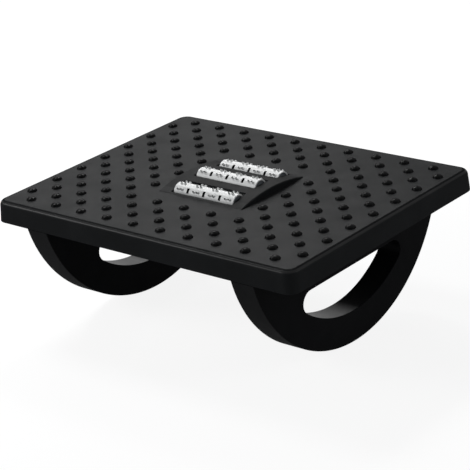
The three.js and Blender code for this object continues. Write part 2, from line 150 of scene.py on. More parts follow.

# Where the painted shade of the inside begins: below a sleeve's outside, in from its ends, round
# a pin's bore and below a pin's tip
BORE_BELOW_SKIN = 0.15 * MM
BORE_FROM_END = 0.5 * MM
BORE_ROUND = 0.03 * MM
BORE_BELOW_TIP = 0.05 * MM

# Roller ends, axles and screws
HUB_RADIUS = 8.8 * MM
HUB_DEPTH = 4 * MM
HUB_INSET = 0.5 * MM
HUB_RIM = 0.9 * MM
HUB_DISH = 0.3 * MM
HUB_EDGE = 0.12 * MM
HUB_BOSS = 4.2 * MM
HUB_BOSS_REACH = 1.2 * MM
AXLE_RADIUS = 1.6 * MM
AXLE_HALF = 49.5 * MM
AXLE_EDGE = 0.3 * MM
AXLE_GAP = 0.25 * MM
SCREW_SHANK = 2 * MM
SCREW_HEAD = 4 * MM
SCREW_HEAD_HEIGHT = 2.6 * MM
SCREW_CROWN = 1.3 * MM
SCREW_NECK = SCREW_SHANK * 0.82
SCREW_TIP_SHARE = 0.15
SCREW_TIP_GAP = 0.1 * MM
SCREW_END = 3 * MM
THREAD_PITCH = 1.4 * MM
THREAD_FLANK = THREAD_PITCH * 0.4
THREAD_LAND = THREAD_PITCH * 0.2
THREAD_CREST = SCREW_SHANK * 0.99
THREAD_ROOT = SCREW_SHANK * 0.8
CROSS_ARM = 2.2 * MM
CROSS_HALF_WIDTH = 0.5 * MM
CROSS_DEPTH = 1.6 * MM
BOSS_RADIUS = 4.4 * MM
BOSS_DEPTH = 8 * MM
PILOT_RADIUS = 2.25 * MM

# Cradle
CRADLE_TOP = SURFACE - 15.6 * MM
CRADLE_FLOOR = 2.4 * MM
CRADLE_BOTTOM = CRADLE_TOP - CRADLE_FLOOR
CRADLE_INNER = 47.4 * MM
CRADLE_OUTER = 51.4 * MM
CRADLE_WELL = 59.6 * MM
CRADLE_HALF_DEPTH = 77.6 * MM
CRADLE_SCREWS = (40.2 * MM, 70.6 * MM)
HORN_TOP = 6 * MM
HORN_FOOT = 12 * MM
SEAT_DEPTH = 2.4 * MM
CRADLE_EDGE = 0.35 * MM
# Tops of the cutters, clear above the cradle
VALLEY_TOP = SURFACE + 10 * MM
CUT_TOP = SURFACE + 20 * MM

# Rockers
ROCKER_X = 155.7 * MM
ROCKER_HALF = 15.75 * MM
ROCKER_RADIUS = (PLATE_DEPTH**2 / 4 + ROCKER_HEIGHT**2) / (2 * ROCKER_HEIGHT)
HOLE_RADIUS = ROCKER_RADIUS - 38 * MM
HOLE_TOP = ROCKER_HEIGHT - 42 * MM
HOLE_CORNER = 14 * MM
ROCKER_EDGE = 0.9 * MM
JOINT_GAP = 0.3 * MM
TONGUE_PLAY = 2 * MM
ROCKER_SCREWS = [-72 * MM, -24 * MM, 24 * MM, 72 * MM]
BOSS_WELL_BOTTOM = 149.7 * MM
PILOT_BOTTOM = 140 * MM
HEAD_WELL_TOP = 145.7 * MM
HEAD_WELL_GAP = 0.25 * MM

# Studio, in metres and watts
FLOOR_SIZE = 14
FLOOR_GREY = 0.45
FLOOR_SEEN_GREY = 0.17
FLOOR_GLOW = 0.88
ROOM_COLOUR = (0.9, 0.95, 1, 1)
ROOM_STRENGTH = 0.12
PLATE_MIDDLE = (0, 0, 0.15)
ROCKER_MIDDLE = (0, 0, 0.1)
CAMERA_PLACE = (1.31874, -1.47175, 0.90666)
CAMERA_TURN = (67.608744, 5.122252, 39.794865)
CAMERA_LENS = 137.88
CAMERA_SENSOR = 36
CAMERA_RANGE = (0.1, 50)


# Tools of the bench


def at(value, target):
    """Tells whether a measure is the one that is looked for."""
    return abs(value - target) < SAME_PLACE


def uprights(edge):
    """Tells an edge that runs up or down from a level one."""
    return not at(edge.verts[0].co.z, edge.verts[1].co.z)


def take(piece):
    """Makes one object the only selected and active one."""
    bpy.ops.object.select_all(action="DESELECT")
    piece.select_set(True)
    bpy.context.view_layer.objects.active = piece


def settle(name):
    """Names the object just added and puts its place into its mesh."""
    piece = bpy.context.active_object
    take(piece)
    bpy.ops.object.transform_apply(location=True, rotation=True, scale=True)
    piece.name = name
    piece.data.name = name
    return piece


def block(low, high, name="block"):
    """A box between its low and its high corner."""
    centre = [(a + b) / 2 for a, b in zip(low, high)]
    size = [b - a for a, b in zip(low, high)]
    bpy.ops.object.select_all(action="DESELECT")
    bpy.ops.mesh.primitive_cube_add(size=1, location=centre, scale=size)
    return settle(name)


def rod(radius, start, end, sides, axis="Z", name="rod", fill="NGON"):
    """A round bar along an axis, from the middle of one end to the middle of the other."""
    start, end = Vector(start), Vector(end)
    turn = {"X": (0, math.pi / 2, 0), "Z": (0, 0, 0)}[axis]
    bpy.ops.object.select_all(action="DESELECT")
    bpy.ops.mesh.primitive_cylinder_add(
        vertices=sides, radius=radius, depth=(end - start).length,
        location=(start + end) / 2, rotation=turn, end_fill_type=fill,
    )
    return settle(name)


def open_up(piece):
    """Opens a piece for work on its faces, edges or corners, with nothing selected."""
    take(piece)
    bpy.ops.object.mode_set(mode="EDIT")
    bpy.ops.mesh.select_mode(type="FACE")
    bpy.ops.mesh.select_all(action="DESELECT")


def choose(piece, kind, wanted):
    """Selects the faces, edges or corners that a test picks out, and nothing else."""
    bpy.ops.mesh.select_mode(type=kind)
    bpy.ops.mesh.select_all(action="DESELECT")
    mesh = bmesh.from_edit_mesh(piece.data)
    mesh.normal_update()
    for element in {"VERT": mesh.verts, "EDGE": mesh.edges, "FACE": mesh.faces}[kind]:
        if wanted(element):
            element.select_set(True)
    bmesh.update_edit_mesh(piece.data)


def close_up():
    """Ends the work on a piece's faces, edges or corners."""
    bpy.ops.object.mode_set(mode="OBJECT")


def finish_modifier(piece, modifier):
    """Makes a modifier's work final."""
    take(piece)
    bpy.ops.object.modifier_apply(modifier=modifier.name)


def carve(piece, tool, operation="DIFFERENCE"):
    """Cuts a tool out of a piece, or joins it on, and throws the tool away."""
    modifier = piece.modifiers.new("carve", "BOOLEAN")
    modifier.object = tool
    modifier.operation = operation
    modifier.solver = "EXACT"
    finish_modifier(piece, modifier)
    bpy.data.objects.remove(tool)
    return piece


def join_on(piece, tool):
    """Joins a block or a rod onto a piece."""
    carve(piece, tool, "UNION")


def clean(piece):
    """Merges doubled corners and dissolves cuts that run across a flat."""
    open_up(piece)
    bpy.ops.mesh.select_all(action="SELECT")
    bpy.ops.mesh.remove_doubles(threshold=DOUBLE_GAP)
    bpy.ops.mesh.dissolve_limited(angle_limit=FLAT_TURN)
    close_up()


def soften(piece, width, angle):
    """Rounds all edges that turn by more than an angle."""
    modifier = piece.modifiers.new("soften", "BEVEL")
    modifier.limit_method = "ANGLE"
    modifier.angle_limit = math.radians(angle)
    modifier.width = width
    modifier.segments = 2
    finish_modifier(piece, modifier)


def smooth(piece, angle=32):
    """Drops crumbs of the cuts, shades the rounds smooth and keeps the flats flat."""
    open_up(piece)
    bpy.ops.mesh.select_all(action="SELECT")
    bpy.ops.mesh.dissolve_degenerate(threshold=CRUMB)
    close_up()
    bpy.ops.object.shade_smooth_by_angle(angle=math.radians(angle))
    modifier = piece.modifiers.new("flats", "WEIGHTED_NORMAL")
    modifier.keep_sharp = True
    modifier.weight = 100
    finish_modifier(piece, modifier)
    return piece


def copy_of(piece, name, move):
    """A copy with its own mesh, moved by a matrix."""
    twin = piece.copy()
    twin.data = piece.data.copy()
    twin.name = name
    twin.data.name = name
    bpy.context.scene.collection.objects.link(twin)
    twin.data.transform(move)
    return twin


def join_up(pieces, name):
    """Joins loose pieces into one object."""
    bpy.ops.object.select_all(action="DESELECT")
    for piece in pieces:
        piece.select_set(True)
    bpy.context.view_layer.objects.active = pieces[0]
    bpy.ops.object.join()
    pieces[0].name = name
    pieces[0].data.name = name
    return pieces[0]


def paint_shade_on_faces(piece, material, wanted):
    """Gives the faces that a test picks out a material of their own, here a painted light or
    shade.
    """
    piece.data.materials.append(material)
    open_up(piece)
    choose(piece, "FACE", wanted)
    piece.active_material_index = len(piece.data.materials) - 1
    bpy.ops.object.material_slot_assign()
    close_up()


def paint_shades_on(piece, first, *others):
    """Gives a piece its main material, then each further painted light or shade with its test."""
    piece.data.materials.clear()
    piece.data.materials.append(first)
    for material, wanted in others:
        paint_shade_on_faces(piece, material, wanted)


def dress(piece, material, body, slot, *nodes):
    """Gives a finished piece its material if it has none, puts it under its body, and hides the
    CAD nodes it stands for.
    """
    if len(piece.data.materials) == 0:
        piece.data.materials.append(material)
    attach(piece, body)
    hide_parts(*nodes)


# Materials


def new_material(name):
    """A material with its node tree and its shader."""
    material = bpy.data.materials.new(name)
    material.use_nodes = True
    tree = material.node_tree
    return material, tree, tree.nodes["Principled BSDF"]


def add_node(tree, kind, **values):
    """Adds a node and sets its inputs or its own settings by name."""
    node = tree.nodes.new(kind)
    for key, value in values.items():
        if key in node.inputs:
            node.inputs[key].default_value = value
        else:
            setattr(node, key, value)
    return node


def noise(tree, place, scale, detail=2.0, roughness=0.5):
    """Noise on Object coordinates."""
    node = add_node(tree, "ShaderNodeTexNoise", Scale=scale, Detail=detail, Roughness=roughness)
    tree.links.new(place.outputs["Object"], node.inputs["Vector"])
    return node.outputs["Fac"]


def spread(tree, value, low, high, start=0.3, end=0.7):
    """Maps a noise onto a range of values."""
    node = add_node(tree, "ShaderNodeMapRange")
    node.inputs["From Min"].default_value = start
    node.inputs["From Max"].default_value = end
    node.inputs["To Min"].default_value = low
    node.inputs["To Max"].default_value = high
    tree.links.new(value, node.inputs["Value"])
    return node.outputs["Result"]


def tint(tree, value, dark, light):
    """Maps a value onto the colours between a dark and a light one."""
    node = add_node(tree, "ShaderNodeMix", data_type="RGBA")
    node.inputs["A"].default_value = (*dark, 1)
    node.inputs["B"].default_value = (*light, 1)
    tree.links.new(value, node.inputs["Factor"])
    return node.outputs["Result"]


def bump(tree, shader, height, distance, strength, below=None):
    """Lets a height ripple the shader's surface, on top of the ripples below it."""
    node = add_node(tree, "ShaderNodeBump", Strength=strength, Distance=distance)
    tree.links.new(height, node.inputs["Height"])
    if below:
        tree.links.new(below.outputs["Normal"], node.inputs["Normal"])
    tree.links.new(node.outputs["Normal"], shader.inputs["Normal"])
    return node


def moulded_plastic(name, dark, light, roughness, gloss, grain, grain_depth, smudge=14):
    """Moulded plastic: drifts of tone, patchy gloss, fine grain and faint flow waves."""
    material, tree, shader = new_material(name)
    place = add_node(tree, "ShaderNodeTexCoord")
    drift = noise(tree, place, smudge, 4.0, 0.55)
    speck = noise(tree, place, 900, 2.0, 0.6)
    tone = add_node(tree, "ShaderNodeMath", operation="MULTIPLY_ADD")
    tree.links.new(speck, tone.inputs[0])
    tone.inputs[1].default_value = 0.25
    tree.links.new(spread(tree, drift, -0.1, 0.85), tone.inputs[2])
    tree.links.new(tint(tree, tone.outputs[0], dark, light), shader.inputs["Base Color"])
    patch = noise(tree, place, smudge * 2.2, 5.0, 0.6)
    patchy = spread(tree, patch, roughness - 0.05, roughness + 0.07)
    tree.links.new(patchy, shader.inputs["Roughness"])
    shader.inputs["Coat Roughness"].default_value = roughness + 0.01
    shader.inputs["Specular IOR Level"].default_value = 0.0
    weight = spread(tree, patch, min(1.15 * gloss, 1.0), 0.85 * gloss)
    tree.links.new(weight, shader.inputs["Coat Weight"])
    waves = bump(tree, shader, noise(tree, place, 60, 2.0), 0.05 * MM, 0.6)
    skin = bump(tree, shader, noise(tree, place, grain, 3.0, 0.65), grain_depth, 0.7, waves)
    tree.links.new(skin.outputs["Normal"], shader.inputs["Coat Normal"])
    return material


def fade_painted_highlight(material, start, end, gloss, rest):
    """Paints a highlight that fades along Y: the gloss falls off from one place to another."""
    tree = material.node_tree
    place = add_node(tree, "ShaderNodeTexCoord")
    split = add_node(tree, "ShaderNodeSeparateXYZ")
    tree.links.new(place.outputs["Object"], split.inputs[0])
    weight = spread(tree, split.outputs["Y"], gloss, rest, start, end)
    tree.links.new(weight, tree.nodes["Principled BSDF"].inputs["Coat Weight"])


def drawn_steel(name, dark, light, roughness, streaks):
    """Drawn or plated steel: streaks along X, or fine mottling all round."""
    material, tree, shader = new_material(name)
    place = add_node(tree, "ShaderNodeTexCoord")
    along = add_node(tree, "ShaderNodeMapping")
    along.inputs["Scale"].default_value = streaks
    tree.links.new(place.outputs["Object"], along.inputs["Vector"])
    line = add_node(tree, "ShaderNodeTexNoise", Scale=900.0, Detail=4.0, Roughness=0.6)
    tree.links.new(along.outputs["Vector"], line.inputs["Vector"])
    tree.links.new(tint(tree, line.outputs["Fac"], dark, light), shader.inputs["Base Color"])
    tree.links.new(
        spread(tree, line.outputs["Fac"], roughness - 0.08, roughness + 0.12),
        shader.inputs["Roughness"],
    )
    shader.inputs["Metallic"].default_value = 1.0
    bump(tree, shader, line.outputs["Fac"], 0.02 * MM, 0.5)
    return material


PLATE_BLACK = moulded_plastic(
    "plate_black", dark=(0.011, 0.0115, 0.012), light=(0.0165, 0.0172, 0.0178),
    roughness=0.46, gloss=0.15, grain=2600, grain_depth=0.03 * MM,
)
# Painted shade: the skirt is the plate's own plastic, given less gloss so its sides look darker
# than the top.
SKIRT_PAINTED_SHADE = moulded_plastic(
    "skirt_painted_shade", dark=(0.011, 0.0117, 0.0124), light=(0.016, 0.017, 0.018),
    roughness=0.42, gloss=0.06, grain=2600, grain_depth=0.03 * MM,
)
# Painted highlight: the lower part of the plate's rolled edge is the plate's own plastic, made
# glossier so it catches a bright line.
EDGE_PAINTED_HIGHLIGHT = moulded_plastic(
    "edge_painted_highlight", dark=(0.007, 0.0074, 0.0078), light=(0.011, 0.0115, 0.012),
    roughness=0.26, gloss=0.26, grain=2600, grain_depth=0.02 * MM,
)
# Painted shade: the upper part of the plate's rolled edge is the plate's own plastic, made darker
# and nearly without gloss so it shows a dark band.
ROLL_PAINTED_SHADE = moulded_plastic(
    "roll_painted_shade", dark=(0.0075, 0.0079, 0.0083), light=(0.011, 0.0115, 0.012),
    roughness=0.5, gloss=0.03, grain=2600, grain_depth=0.03 * MM,
)
# Painted shade: the bump's top between and beside the rollers is the plate's own plastic, made
# darker where the rollers shade it.
BUMP_PAINTED_SHADE = moulded_plastic(
    "bump_painted_shade", dark=(0.009, 0.0094, 0.0098), light=(0.014, 0.0145, 0.015),
    roughness=0.46, gloss=0.12, grain=2600, grain_depth=0.03 * MM,
)
# Painted shade: the domes are the plate's own plastic, made far darker so they show dark against
# the top.
DOME_BLACK = moulded_plastic(
    "dome_black", dark=(0.002, 0.0021, 0.0023), light=(0.0035, 0.0037, 0.0039),
    roughness=0.18, gloss=0.1, grain=2000, grain_depth=0.01 * MM,
)
# Painted shade: a dome's steep sides and foot, darker again, for the dark ring round each dome.
DOME_FLANK_SHADE = moulded_plastic(
    "dome_flank_shade", dark=(0.0015, 0.0016, 0.0017), light=(0.0025, 0.0026, 0.0028),
    roughness=0.22, gloss=0.06, grain=2000, grain_depth=0.01 * MM,
)
ROCKER_BLACK = moulded_plastic(
    "rocker_black", dark=(0.0045, 0.0047, 0.0052), light=(0.0075, 0.0078, 0.0086),
    roughness=0.4, gloss=0.04, grain=2000, grain_depth=0.02 * MM,
)
# Painted light: the rocker's tread is the rocker's own plastic, made lighter than its side faces.
TREAD_PAINTED_LIGHT = moulded_plastic(
    "tread_painted_light", dark=(0.008, 0.0085, 0.009), light=(0.012, 0.0125, 0.0135),
    roughness=0.45, gloss=0.08, grain=1600, grain_depth=0.04 * MM,
)
# Painted highlight: the bottom of the hand hole is the rocker's own plastic, glossy towards the
# front and fading to little gloss towards the back.
HOLE_PAINTED_HIGHLIGHT = moulded_plastic(
    "hole_painted_highlight", dark=(0.0055, 0.0058, 0.0063), light=(0.009, 0.0094, 0.0102),
    roughness=0.3, gloss=0.5, grain=1600, grain_depth=0.02 * MM,
)
fade_painted_highlight(HOLE_PAINTED_HIGHLIGHT, start=-20 * MM, end=8 * MM, gloss=0.5, rest=0.03)
CRADLE_BLACK = moulded_plastic(
    "cradle_black", dark=(0.008, 0.008, 0.009), light=(0.012, 0.012, 0.013),
    roughness=0.5, gloss=0.3, grain=1800, grain_depth=0.03 * MM,
)
ROLLER_WHITE = moulded_plastic(
    "roller_white", dark=(0.7, 0.71, 0.705), light=(0.8, 0.805, 0.8),
    roughness=0.38, gloss=1.0, grain=1500, grain_depth=0.02 * MM, smudge=30,
)
# Painted shade: the inside of the sleeve, its windows and its hollow pins are the same white
# plastic, painted dark grey where shade falls.
BORE_PAINTED_SHADE = moulded_plastic(
    "roller_bore_painted_shade", dark=(0.01, 0.01, 0.011), light=(0.016, 0.016, 0.017),
    roughness=0.6, gloss=0.1, grain=1500, grain_depth=0.02 * MM, smudge=30,
)
HUB_GREY = moulded_plastic(
    "hub_grey", dark=(0.09, 0.1, 0.11), light=(0.13, 0.14, 0.15),
    roughness=0.45, gloss=0.3, grain=1800, grain_depth=0.03 * MM, smudge=60,
)
AXLE_STEEL = drawn_steel(
    "axle_steel", dark=(0.5, 0.5, 0.51), light=(0.66, 0.66, 0.67), roughness=0.3,
    streaks=(0.05, 1, 1),
)
SCREW_ZINC = drawn_steel(
    "screw_zinc", dark=(0.42, 0.43, 0.45), light=(0.6, 0.61, 0.62), roughness=0.34,
    streaks=(1, 1, 1),
)


# Foot plate


def build_shell():
    """Skirted tray: a block that is drafted, rounded, hollowed and given its edges."""
    half_x, half_y = PLATE_WIDTH / 2, PLATE_DEPTH / 2
    shell = block((-half_x, -half_y, ROCKER_HEIGHT), (half_x, half_y, SURFACE), "foot_plate")
    open_up(shell)
    choose(shell, "FACE", lambda f: f.normal.z > 0.9)
    inset = SKIRT_HEIGHT * SKIRT_DRAFT
    bpy.ops.transform.resize(
        value=(1 - inset / half_x, 1 - inset / half_y, 1), center_override=(0, 0, SURFACE)
    )
    choose(shell, "EDGE", uprights)
    bpy.ops.mesh.bevel(offset=PLATE_CORNER, segments=12, affect="EDGES")
    choose(shell, "EDGE", lambda e: all(at(v.co.z, SURFACE) for v in e.verts))
    bpy.ops.mesh.bevel(offset=PLATE_EDGE, segments=9, affect="EDGES")
    choose(shell, "FACE", lambda f: f.normal.z > 0.999 and len(f.verts) > 8)
    bpy.ops.mesh.inset(thickness=PLATE_BORDER)
    choose(shell, "EDGE", lambda e: all(at(v.co.z, ROCKER_HEIGHT) for v in e.verts))
    bpy.ops.mesh.bevel(offset=SKIRT_FOOT_EDGE, segments=3, affect="EDGES")
    choose(shell, "FACE", lambda f: f.normal.z < -0.999 and len(f.verts) > 8)
    bpy.ops.mesh.inset(thickness=PLATE_WALL - SKIRT_FOOT_EDGE)
    depth = SKIRT_HEIGHT - PLATE_WALL
    bpy.ops.mesh.extrude_region_move(TRANSFORM_OT_translate={"value": (0, 0, depth)})
    draft = depth * SKIRT_DRAFT
    bpy.ops.transform.resize(
        value=(1 - draft / (half_x - PLATE_WALL), 1 - draft / (half_y - PLATE_WALL), 1),
        center_override=(0, 0, UNDERSIDE),
    )
    close_up()
    return shell


def bump_radius():
    """Radius of the arch that rises by the bump's height over its depth."""
    return (BUMP_DEPTH**2 / 4 + BUMP_RISE**2) / (2 * BUMP_RISE)


def arch_slab(half_x, half_y, radius, floor):
    """The part of a long round bar above a floor, cut to a rectangle."""
    centre = SURFACE + BUMP_RISE - bump_radius()
    slab = block(
        (-half_x, -half_y, floor), (half_x, half_y, SURFACE + 2 * BUMP_RISE), "roller_bump"
    )
    bar = rod(radius, (-2 * half_x, 0, centre), (2 * half_x, 0, centre), 320, "X")
    return carve(slab, bar, "INTERSECT")


def build_bump():
    """Arched hood over the rollers, still solid, with rounded end edges."""
    half_x, half_y = BUMP_WIDTH / 2, BUMP_DEPTH / 2
    hood = arch_slab(half_x, half_y, bump_radius(), SURFACE - BITE)
    open_up(hood)
    choose(hood, "EDGE", lambda e: all(
        at(abs(v.co.x), half_x) and v.co.z > SURFACE + BUMP_EDGE_BEGINS for v in e.verts
    ))
    bpy.ops.mesh.bevel(offset=BUMP_EDGE, segments=4, affect="EDGES")
    close_up()
    return hood


def slot_cutter(y):
    """Cutter for the slot of the roller at a place along Y."""
    cutter = block(
        (-SLOT_HALF_WIDTH, y - SLOT_HALF_DEPTH, UNDERSIDE - SLOT_DEPTH),
        (SLOT_HALF_WIDTH, y + SLOT_HALF_DEPTH, SURFACE + 2 * BUMP_RISE),
    )
    open_up(cutter)
    choose(cutter, "EDGE", uprights)
    bpy.ops.mesh.bevel(offset=SLOT_CORNER, segments=4, affect="EDGES")
    close_up()
    return cutter


def plate_ribs():
    """Low and high corners of every rib below the plate."""
    ribs = []
    end_y = PLATE_DEPTH / 2 - RIB_MARGIN
    end_x = PLATE_WIDTH / 2 - RIB_MARGIN
    half = RIB_WIDTH / 2
    top = UNDERSIDE + BITE
    bottom = UNDERSIDE - RIB_DEPTH
    seat_bottom = UNDERSIDE - SEAT_RIB_DEPTH
    seat_inner = ROCKER_X - ROCKER_HALF - SEAT_PLAY
    seat_outer = ROCKER_X + ROCKER_HALF + SEAT_PLAY
    for sign in (-1, 1):
        for a, b, low in (
            (seat_inner - RIB_WIDTH, seat_inner, seat_bottom),
            (seat_outer, seat_outer + RIB_WIDTH, seat_bottom),
            (INNER_RIB_X - half, INNER_RIB_X + half, bottom),
        ):
            x0, x1 = sorted((sign * a, sign * b))
            ribs.append(((x0, -end_y, low), (x1, end_y, top)))
        for y in CROSS_RIB_YS:
            for a, b in ((seat_outer + BITE, end_x), (INNER_RIB_X, seat_inner - BITE)):
                x0, x1 = sorted((sign * a, sign * b))
                ribs.append(((x0, y - half, bottom), (x1, y + half, top)))
        y = sign * MIDDLE_RIB_Y
        ribs.append(((-INNER_RIB_X, y - half, bottom), (INNER_RIB_X, y + half, top)))
    return ribs


def plate_bosses():
    """Middle and bottom of every screw boss below the plate."""
    bosses = [
        (sign * ROCKER_X, y, UNDERSIDE - BOSS_DEPTH) for sign in (-1, 1) for y in ROCKER_SCREWS
    ]
    x, y = CRADLE_SCREWS
    return bosses + [
        (sx * x, sy * y, CRADLE_TOP + JOINT_GAP) for sx in (-1, 1) for sy in (-1, 1)
    ]


def build_foot_plate():
    """The tray with its bump, ribs and bosses, then its holes, hollow and slots."""
    plate = build_shell()
    join_on(plate, build_bump())
    for low, high in plate_ribs():
        join_on(plate, block(low, high))
    bosses = plate_bosses()
    for x, y, bottom in bosses:
        join_on(plate, rod(BOSS_RADIUS, (x, y, bottom), (x, y, UNDERSIDE + BITE), 24))
    for x, y, bottom in bosses:
        carve(plate, rod(PILOT_RADIUS, (x, y, bottom - BITE), (x, y, UNDERSIDE), 24))
    carve(plate, arch_slab(
        BUMP_WIDTH / 2 - BUMP_WALL, BUMP_DEPTH / 2 - BUMP_END_WALL, bump_radius() - BUMP_WALL,
        UNDERSIDE - 2 * BITE,
    ))
    for y, _, _ in ROLLERS.values():
        carve(plate, slot_cutter(y))
    return smooth(plate)


def on_roll(face):
    """Tells the rounded edge between the top and the skirt, which takes a painted shade and a
    painted highlight line.
    """
    centre = face.calc_center_median()
    past_end = abs(centre.x) > PLATE_WIDTH / 2 - ROLL_REACH
    return past_end or abs(centre.y) > PLATE_DEPTH / 2 - ROLL_REACH


def on_bump(face):
    """Tells the upper part of the bump, between and beside the rollers, which takes a painted
    shade.
    """
    centre = face.calc_center_median()
    return abs(centre.y) < BUMP_DARK_HALF and centre.z > SURFACE + BUMP_DARK_RISE


def dome_places():
    """The places of both lattices of domes, without those under the bump."""
    pitch_x = (PLATE_WIDTH - 2 * DOME_MARGIN_X) / (DOME_COLUMNS - 1)
    pitch_y = (PLATE_DEPTH - 2 * DOME_MARGIN_Y) / DOME_ROWS
    for columns, rows in ((DOME_COLUMNS, DOME_ROWS), (DOME_COLUMNS - 1, DOME_ROWS + 1)):
        for column in range(columns):
            for row in range(rows):
                x = (column - (columns - 1) / 2) * pitch_x
                y = (row - (rows - 1) / 2) * pitch_y
                if abs(x) < BUMP_WIDTH / 2 and abs(y) < BUMP_DEPTH / 2 + DOME_RADIUS:
                    continue
                yield x, y


def on_flank(face):
    """Tells the steep side and the foot of a dome, which take a painted shade, from its top."""
    middle = face.calc_center_median()
    return face.normal.z < DOME_FLANK_BEGINS or middle.z < SURFACE + DOME_FLANK_FOOT


def build_domes():
    """One full round button with a crowned top and a filleted foot, copied over both lattices."""
    top = SURFACE + DOME_SHOULDER
    button = rod(DOME_RADIUS, (0, 0, SURFACE - DOME_SINK), (0, 0, top), 16, "Z", "dome")
    open_up(button)
    choose(button, "EDGE", lambda e: all(at(v.co.z, top) for v in e.verts))
    bpy.ops.mesh.bevel(offset=DOME_SHOULDER * DOME_ROUND, segments=5, affect="EDGES")
    choose(button, "FACE", lambda f: f.normal.z > 0.999)
    step = (DOME_HEIGHT - DOME_SHOULDER) / 2
    for inset, share in DOME_CROWN:
        bpy.ops.mesh.inset(thickness=inset)
        bpy.ops.transform.translate(value=(0, 0, share * step))
    choose(button, "VERT", lambda v: v.co.z < SURFACE)
    foot = DOME_FOOT / DOME_RADIUS
    bpy.ops.transform.resize(value=(foot, foot, 1), center_override=(0, 0, SURFACE))
    close_up()
    buttons = [
        copy_of(button, "dome", Matrix.Translation((x, y, 0))) for x, y in dome_places()
    ]
    bpy.data.objects.remove(button)
    return smooth(join_up(buttons, "plate_domes"), 60)


# Rockers


def hole_cutter():
    """D-shaped cutter for the hand hole: flat top, round bottom, two round corners."""
    reach = ROCKER_HALF + 4 * BITE
    centre = ROCKER_RADIUS
    corner_z = HOLE_TOP - HOLE_CORNER
    corner_y = math.sqrt((HOLE_RADIUS - HOLE_CORNER) ** 2 - (centre - corner_z) ** 2)
    cutter = rod(HOLE_RADIUS, (-reach, 0, centre), (reach, 0, centre), 256, "X", "hole")
    open_up(cutter)
    for sign in (-1, 1):
        bpy.ops.mesh.select_all(action="SELECT")
        bpy.ops.mesh.bisect(
            plane_co=(0, 0, centre), plane_no=(0, sign * (centre - corner_z), corner_y),
            clear_outer=True, use_fill=True,
        )
    bpy.ops.mesh.select_all(action="SELECT")
    bpy.ops.mesh.bisect(
        plane_co=(0, 0, HOLE_TOP), plane_no=(0, 0, 1), clear_outer=True, use_fill=True
    )
    close_up()
    join_on(cutter, block((-reach, -corner_y, corner_z), (reach, corner_y, HOLE_TOP)))
    for y in (-corner_y, corner_y):
        join_on(cutter, rod(HOLE_CORNER, (-reach, y, corner_z), (reach, y, corner_z), 96, "X"))
    return cutter


def round_rim(rocker, near, far):
    """Rounds those edges of both side faces that lie between two reaches of the tread's axis."""
    def wanted(edge):
        for corner in edge.verts:
            reach = math.hypot(corner.co.y, corner.co.z - ROCKER_RADIUS)
            if not at(abs(corner.co.x), ROCKER_HALF) or not near < reach < far:
                return False
        return abs(edge.verts[0].co.x - edge.verts[1].co.x) < MM

    open_up(rocker)
    choose(rocker, "EDGE", wanted)
    bpy.ops.mesh.bevel(offset=ROCKER_EDGE, segments=3, affect="EDGES")
    close_up()


def build_rocker():
    """Round slab with a tongue on top, a hand hole, and wells for four screws."""
    centre = ROCKER_RADIUS
    rocker = rod(
        ROCKER_RADIUS, (-ROCKER_HALF, 0, centre), (ROCKER_HALF, 0, centre), 360, "X", "rocker"
    )
    carve(rocker, hole_cutter())
    clean(rocker)
    round_rim(rocker, 0, HOLE_RADIUS + MM)
    round_rim(rocker, ROCKER_RADIUS - MM, ROCKER_RADIUS + MM)
    open_up(rocker)
    bpy.ops.mesh.select_all(action="SELECT")
    bpy.ops.mesh.bisect(
        plane_co=(0, 0, ROCKER_HEIGHT - JOINT_GAP), plane_no=(0, 0, 1),
        clear_outer=True, use_fill=True,
    )
    close_up()
    tongue = PLATE_DEPTH / 2 - PLATE_WALL - TONGUE_PLAY
    join_on(rocker, block(
        (-ROCKER_HALF, -tongue, ROCKER_HEIGHT - 2 * BITE),
        (ROCKER_HALF, tongue, UNDERSIDE - JOINT_GAP),
    ))
    for y in ROCKER_SCREWS:
        for radius, bottom, top, sides in (
            (BOSS_RADIUS + JOINT_GAP, BOSS_WELL_BOTTOM, SURFACE, 32),
            (PILOT_RADIUS, PILOT_BOTTOM, SURFACE, 24),
            (SCREW_HEAD + HEAD_WELL_GAP, HOLE_TOP - BITE, HEAD_WELL_TOP, 32),
        ):
            carve(rocker, rod(radius, (0, y, bottom), (0, y, top), sides))
    return smooth(rocker)


def in_hole(face):
    """Tells the faces and rims of the hand hole."""
    centre = face.calc_center_median()
    reach = math.hypot(centre.y, centre.z - ROCKER_RADIUS)
    return reach < HOLE_RADIUS + MM and centre.z < HOLE_TOP + MM


# Rollers


def pin_pitch():
    """From one pair of pins to the next along a sleeve."""
    return (ROLLER_LENGTH - 2 * PIN_END_MARGIN) / (PIN_GROUPS - 1)


def build_pin():
    """One hollow round pin that stands up from the middle of a sleeve."""
    height = PIN_REACH - ROLLER_RADIUS + PIN_ROOT
    bpy.ops.object.select_all(action="DESELECT")
    bpy.ops.mesh.primitive_cone_add(
        vertices=12, radius1=PIN_BASE, radius2=PIN_TIP, depth=height,
        location=(0, 0, PIN_REACH - height / 2), rotation=(0, 0, math.radians(15)),
    )
    pin = settle("pin")
    open_up(pin)
    choose(pin, "EDGE", lambda e: all(at(v.co.z, PIN_REACH) for v in e.verts))
    bpy.ops.mesh.bevel(offset=PIN_EDGE, segments=2, affect="EDGES")
    choose(pin, "FACE", lambda f: f.normal.z > 0.99)
    bpy.ops.mesh.inset(thickness=PIN_TIP - PIN_EDGE - PIN_BORE)
    bpy.ops.mesh.extrude_region_move(TRANSFORM_OT_translate={"value": (0, 0, -PIN_BORE_DEPTH)})
    close_up()
    return pin


